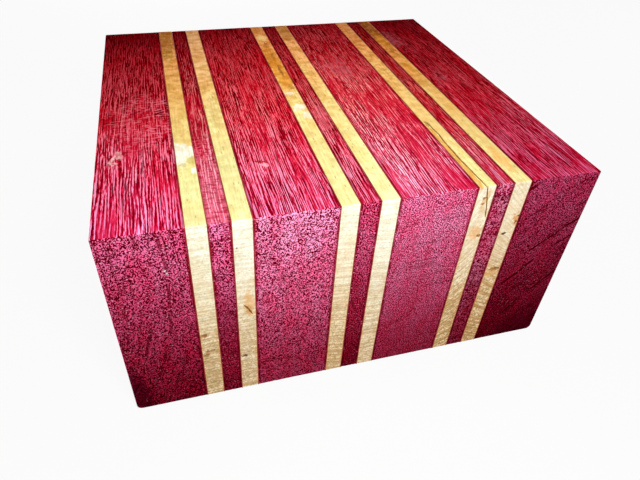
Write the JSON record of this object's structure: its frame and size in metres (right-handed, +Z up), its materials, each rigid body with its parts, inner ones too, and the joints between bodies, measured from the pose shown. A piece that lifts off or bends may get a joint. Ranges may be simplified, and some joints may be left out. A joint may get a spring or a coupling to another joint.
{
  "type": "laminated wood turning blank",
  "caption": "Rectangular block of dark red purpleheart boards and narrow pale maple strips glued side by side, sawn square for turning a bowl.",
  "frame": {"origin": "centre of the underside", "axes": "+X across the boards to the right, +Y along the grain away from the viewer, +Z up"},
  "size_m": [0.1524, 0.145, 0.0762],
  "materials": {
    "purpleheart": "sawn and lightly sanded",
    "maple": "sawn and lightly sanded"
  },
  "bodies": {
    "root": {"outer_board_left": "purpleheart", "maple_strip_1": "maple", "purpleheart_strip_left": "purpleheart", "maple_strip_2": "maple", "inner_board_left": "purpleheart", "maple_strip_3": "maple", "purpleheart_strip_middle": "purpleheart", "maple_strip_4": "maple", "inner_board_right": "purpleheart", "maple_strip_5": "maple", "purpleheart_strip_right": "purpleheart", "maple_strip_6": "maple", "outer_board_right": "purpleheart"}
  },
  "joints": []
}
